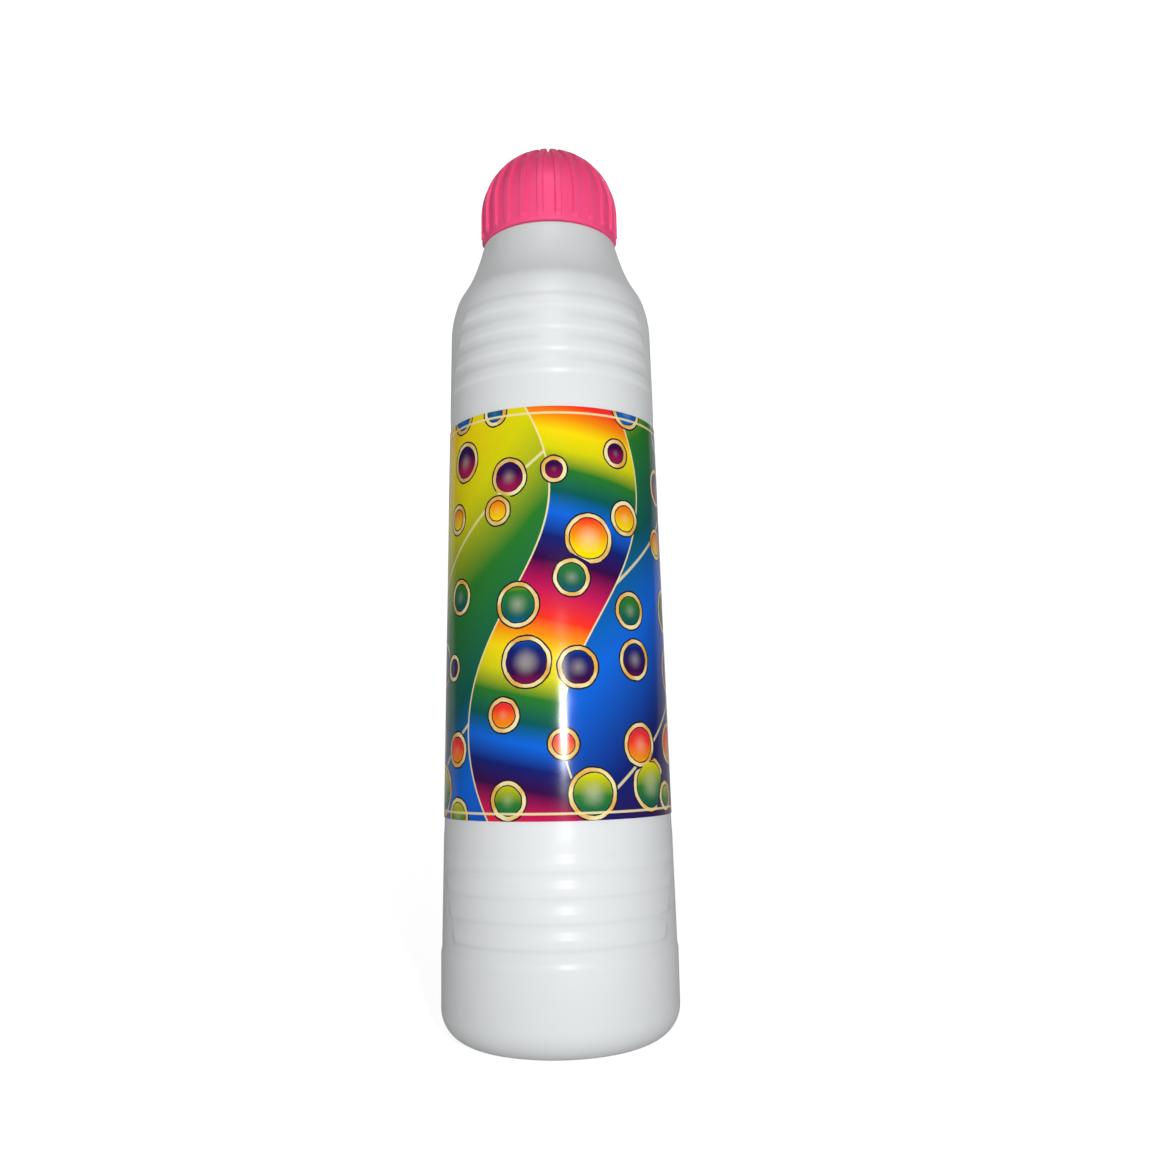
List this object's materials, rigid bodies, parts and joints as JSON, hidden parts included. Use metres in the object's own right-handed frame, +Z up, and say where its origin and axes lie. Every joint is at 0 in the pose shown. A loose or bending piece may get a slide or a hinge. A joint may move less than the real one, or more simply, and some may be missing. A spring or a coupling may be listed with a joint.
{
  "type": "bingo dauber",
  "caption": "Squeeze bottle ink dauber with ringed white body, wrap label, ridged pink dome cap and spring-valve foam tip.",
  "frame": {"origin": "centre of the base, on the surface that the bottle stands on", "axes": "+Z up along the bottle, towards the cap; -Y towards the front of the label"},
  "size_m": [0.0382, 0.0384, 0.1502],
  "materials": {
    "bottle_white": "satin blow-moulded polyethylene",
    "label_print": "glossy printed film",
    "ink_pink": "liquid ink",
    "fitment_white": "moulded polyethylene",
    "tip_cloth": "fine knitted cloth, stained by the ink",
    "tip_foam": "open-cell foam, stained by the ink",
    "valve_plastic": "moulded acetal",
    "gasket_rubber": "smooth rubber",
    "spring_steel": "drawn stainless wire",
    "liner_foam": "polyethylene foam",
    "cap_pink": "glossy moulded polypropylene"
  },
  "bodies": {
    "bottle": {"bottle": "bottle_white", "label": "label_print", "ink_charge": "ink_pink", "fitment": "fitment_white", "cover_ring": "fitment_white", "tip_cover": "tip_cloth", "valve_spring": "spring_steel", "valve_cage": "valve_plastic"},
    "valve": {"valve_stem": "valve_plastic", "valve_gasket": "gasket_rubber", "pusher_plate": "valve_plastic", "foam_pad": "tip_foam"},
    "cap_seal": {"cap_liner": "liner_foam"},
    "cap": {"cap_shell": "cap_pink"}
  },
  "joints": [
    {"name": "tip_press", "type": "slide", "parent": "bottle", "child": "valve", "axis": [0, 0, -1], "range_m": [0, 0.002], "stiffness_N_per_m": 300, "springref_m": -0.008, "deforming": ["valve_spring", "tip_cover"]},
    {"name": "cap_lift", "type": "slide", "parent": "bottle", "child": "cap_seal", "axis": [0, 0, 1], "range_m": [0, 0.03]},
    {"name": "cap_turn", "type": "hinge", "parent": "cap_seal", "child": "cap", "pos_m": [0, 0, 0.14], "axis": [0, 0, 1], "range_deg": [0, 540]}
  ],
  "couplings": [
    {"joint": "cap_turn", "follows": "cap_lift", "rad_per_m": 314.16}
  ]
}
